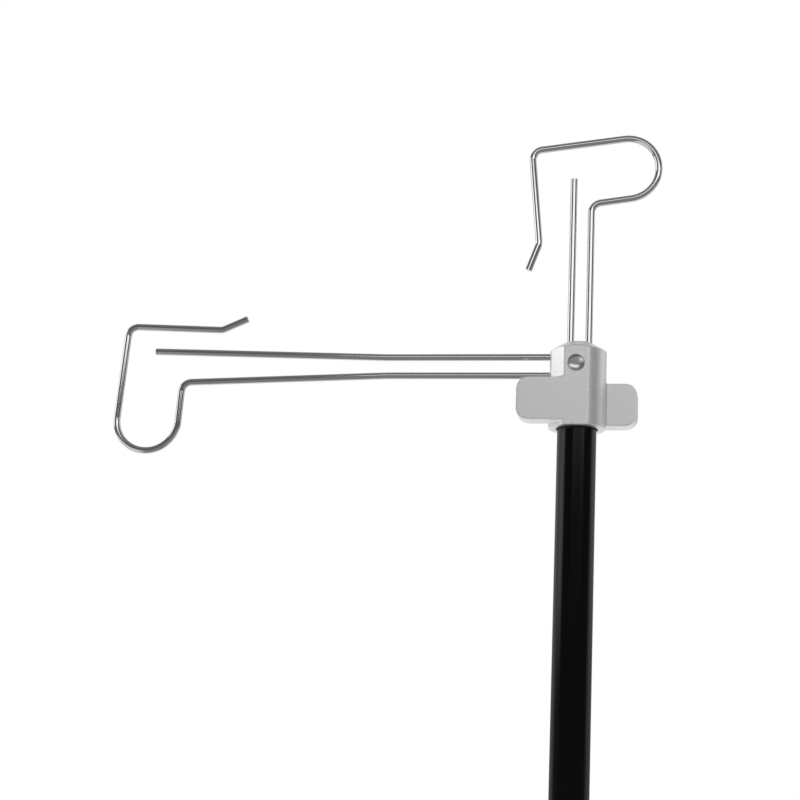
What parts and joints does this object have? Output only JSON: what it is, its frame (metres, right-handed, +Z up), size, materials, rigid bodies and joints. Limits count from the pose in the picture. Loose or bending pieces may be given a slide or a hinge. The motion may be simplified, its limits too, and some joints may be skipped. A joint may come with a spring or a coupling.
{
  "type": "spool holder stand",
  "caption": "Free-standing spool holder: weighted round base, telescopic pole, swivelling cast head with finger wings and two bent-wire arms with U-shaped hooks.",
  "frame": {"origin": "on the pole's axis at the underside of the rubber base pad", "axes": "+Z up along the pole, -Y towards the front face of the head with the blind hole, -X along the side arm"},
  "size_m": [0.3925, 0.24, 0.7368],
  "materials": {
    "satin_aluminium": "fine bead-blasted satin",
    "polished_wire": "polished drawn stainless wire",
    "satin_tube": "satin black",
    "powder_coat": "fine-textured black powder coat",
    "cast_black": "satin black",
    "knob_plastic": "moulded, fine grain",
    "nylon": "matte black",
    "steel_screw": "black oxide",
    "rubber": "matte"
  },
  "bodies": {
    "base": {"base_pad": "rubber", "base_plate": "powder_coat", "pole_flange": "powder_coat", "flange_screw_1": "steel_screw", "flange_screw_2": "steel_screw", "flange_screw_3": "steel_screw", "flange_set_screw": "steel_screw", "lower_tube": "satin_tube", "guide_bush": "nylon", "height_collar": "cast_black", "collar_set_screw": "steel_screw"},
    "clamp": {"clamp_shoe": "nylon"},
    "knob": {"height_knob": "knob_plastic", "knob_stud": "steel_screw"},
    "upper_pole": {"upper_tube": "satin_tube", "slider_bush": "nylon", "thrust_washer": "nylon"},
    "head": {"head_casting": "satin_aluminium", "swivel_bush": "nylon", "head_keeper_screw": "steel_screw", "side_arm_screw": "steel_screw", "top_arm_screw": "steel_screw"},
    "side_wire": {"side_arm": "polished_wire"},
    "top_wire": {"top_arm": "polished_wire"}
  },
  "joints": [
    {"name": "pole_height", "type": "slide", "parent": "base", "child": "upper_pole", "axis": [0, 0, 1], "range_m": [-0.125, 0.13]},
    {"name": "head_swivel", "type": "hinge", "parent": "upper_pole", "child": "head", "pos_m": [0, 0, 0.56], "axis": [0, 0, 1], "continuous": true},
    {"name": "side_arm_slide", "type": "slide", "parent": "head", "child": "side_wire", "axis": [-1, 0, 0], "range_m": [0, 0.016]},
    {"name": "top_arm_slide", "type": "slide", "parent": "head", "child": "top_wire", "axis": [0, 0, 1], "range_m": [-0.045, 0.13]},
    {"name": "clamp_feed", "type": "slide", "parent": "base", "child": "clamp", "axis": [1, 0, 0], "range_m": [0, 0.00187]},
    {"name": "knob_turn", "type": "hinge", "parent": "clamp", "child": "knob", "pos_m": [0.03, 0, 0.3257], "axis": [1, 0, 0], "range_deg": [0, 540]}
  ],
  "couplings": [
    {"joint": "knob_turn", "follows": "clamp_feed", "rad_per_m": 5026.5}
  ]
}
